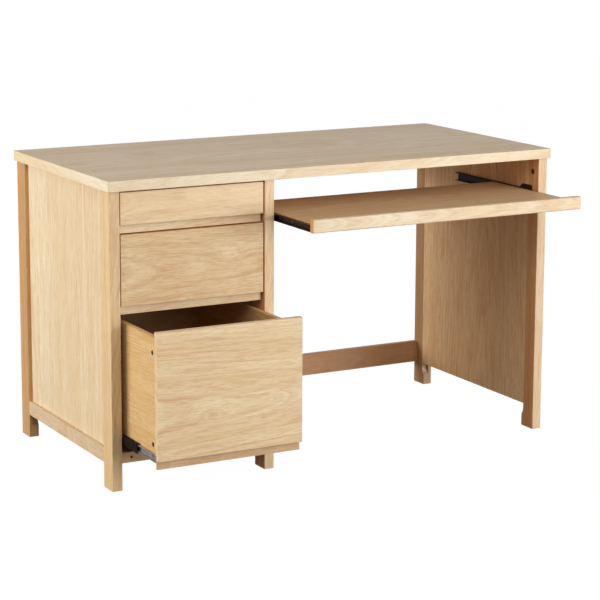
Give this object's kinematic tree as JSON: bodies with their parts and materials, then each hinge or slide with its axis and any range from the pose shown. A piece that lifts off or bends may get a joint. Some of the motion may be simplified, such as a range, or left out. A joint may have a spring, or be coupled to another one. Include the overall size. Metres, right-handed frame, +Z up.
{
  "type": "writing desk",
  "caption": "Wooden writing desk with a drawer pedestal on the left, a knee space on the right, and a keyboard tray that slides out under the top",
  "frame": {"origin": "on the floor, under the middle of the desk's bounding box with the file drawer drawn out 200 mm", "axes": "+X along the width to the right, the drawers and the tray open towards -Y, +Z up"},
  "size_m": [1.25, 0.8, 0.75],
  "materials": {
    "top_veneer": "satin lacquered light oak, grain along the width",
    "lipping": "pale satin lipping",
    "leg_wood": "satin lacquered light oak, grain upright",
    "panel_veneer": "satin lacquered light oak in upright staves",
    "inner_panel_veneer": "satin lacquered oak, upright grain",
    "rail_wood": "satin lacquered light oak, grain along the rail",
    "drawer_veneer": "satin lacquered light oak, grain along the width",
    "drawer_box": "matt sealed board",
    "drawer_bottom": "matt thin board",
    "tray_veneer": "satin lacquered light oak, grain along the width",
    "zinc_steel": "bright zinc plate",
    "dark_steel": "dark satin coat",
    "black_steel": "black satin coat",
    "cage_steel": "plain steel",
    "screw_steel": "zinc plate",
    "cam_black": "black oxide"
  },
  "bodies": {
    "case": {"top_board": "top_veneer", "top_lippings": "lipping", "left_front_leg": "leg_wood", "left_rear_leg": "leg_wood", "inner_front_leg": "leg_wood", "inner_rear_leg": "leg_wood", "right_front_leg": "leg_wood", "right_rear_leg": "leg_wood", "left_panel": "panel_veneer", "inner_panel": "inner_panel_veneer", "right_panel": "panel_veneer", "base_rails": "rail_wood", "tray_packer": "rail_wood", "pedestal_front_rail": "rail_wood", "pedestal_top_rail": "rail_wood", "rail_blocks": "rail_wood", "pedestal_back_panel": "panel_veneer", "rear_stretcher": "rail_wood", "rear_top_rail": "rail_wood", "top_fixings": "cam_black", "case_screws": "screw_steel", "top_drawer_cabinet_members": "dark_steel", "middle_drawer_cabinet_members": "dark_steel", "file_drawer_cabinet_members": "dark_steel", "tray_cabinet_members": "black_steel"},
    "top_drawer": {"top_drawer_face": "drawer_veneer", "top_drawer_pull_strip": "lipping", "top_drawer_left_side": "drawer_box", "top_drawer_right_side": "drawer_box", "top_drawer_back": "drawer_box", "top_drawer_bottom": "drawer_bottom", "top_drawer_fittings": "cam_black", "top_drawer_inner_members": "zinc_steel"},
    "top_drawer_runner_middles": {"top_drawer_middle_members": "dark_steel", "top_drawer_ball_cages": "cage_steel"},
    "middle_drawer": {"middle_drawer_face": "drawer_veneer", "middle_drawer_pull_strip": "lipping", "middle_drawer_left_side": "drawer_box", "middle_drawer_right_side": "drawer_box", "middle_drawer_back": "drawer_box", "middle_drawer_bottom": "drawer_bottom", "middle_drawer_fittings": "cam_black", "middle_drawer_inner_members": "zinc_steel"},
    "middle_drawer_runner_middles": {"middle_drawer_middle_members": "dark_steel", "middle_drawer_ball_cages": "cage_steel"},
    "file_drawer": {"file_drawer_face": "drawer_veneer", "file_drawer_pull_strip": "lipping", "file_drawer_left_side": "drawer_box", "file_drawer_right_side": "drawer_box", "file_drawer_back": "drawer_box", "file_drawer_bottom": "drawer_bottom", "file_drawer_fittings": "cam_black", "file_drawer_inner_members": "zinc_steel"},
    "file_drawer_runner_middles": {"file_drawer_middle_members": "dark_steel", "file_drawer_ball_cages": "cage_steel"},
    "keyboard_tray": {"tray_board": "tray_veneer", "tray_lip": "drawer_veneer", "tray_screws": "screw_steel", "tray_inner_members": "black_steel"},
    "tray_cages": {"tray_ball_cages": "cage_steel"}
  },
  "joints": [
    {"name": "top_drawer_slide", "type": "slide", "parent": "case", "child": "top_drawer", "axis": [0, -1, 0], "range_m": [0, 0.5]},
    {"name": "top_drawer_middle_slide", "type": "slide", "parent": "case", "child": "top_drawer_runner_middles", "axis": [0, -1, 0], "range_m": [0, 0.25]},
    {"name": "middle_drawer_slide", "type": "slide", "parent": "case", "child": "middle_drawer", "axis": [0, -1, 0], "range_m": [0, 0.5]},
    {"name": "middle_drawer_middle_slide", "type": "slide", "parent": "case", "child": "middle_drawer_runner_middles", "axis": [0, -1, 0], "range_m": [0, 0.25]},
    {"name": "file_drawer_slide", "type": "slide", "parent": "case", "child": "file_drawer", "axis": [0, -1, 0], "range_m": [-0.2, 0.3]},
    {"name": "file_drawer_middle_slide", "type": "slide", "parent": "case", "child": "file_drawer_runner_middles", "axis": [0, -1, 0], "range_m": [-0.1, 0.15]},
    {"name": "tray_slide", "type": "slide", "parent": "case", "child": "keyboard_tray", "axis": [0, -1, 0], "range_m": [-0.192, 0.068]},
    {"name": "tray_cage_slide", "type": "slide", "parent": "case", "child": "tray_cages", "axis": [0, -1, 0], "range_m": [-0.096, 0.034]}
  ],
  "couplings": [
    {"joint": "top_drawer_middle_slide", "follows": "top_drawer_slide", "ratio": 0.5},
    {"joint": "middle_drawer_middle_slide", "follows": "middle_drawer_slide", "ratio": 0.5},
    {"joint": "file_drawer_middle_slide", "follows": "file_drawer_slide", "ratio": 0.5},
    {"joint": "tray_cage_slide", "follows": "tray_slide", "ratio": 0.5}
  ]
}
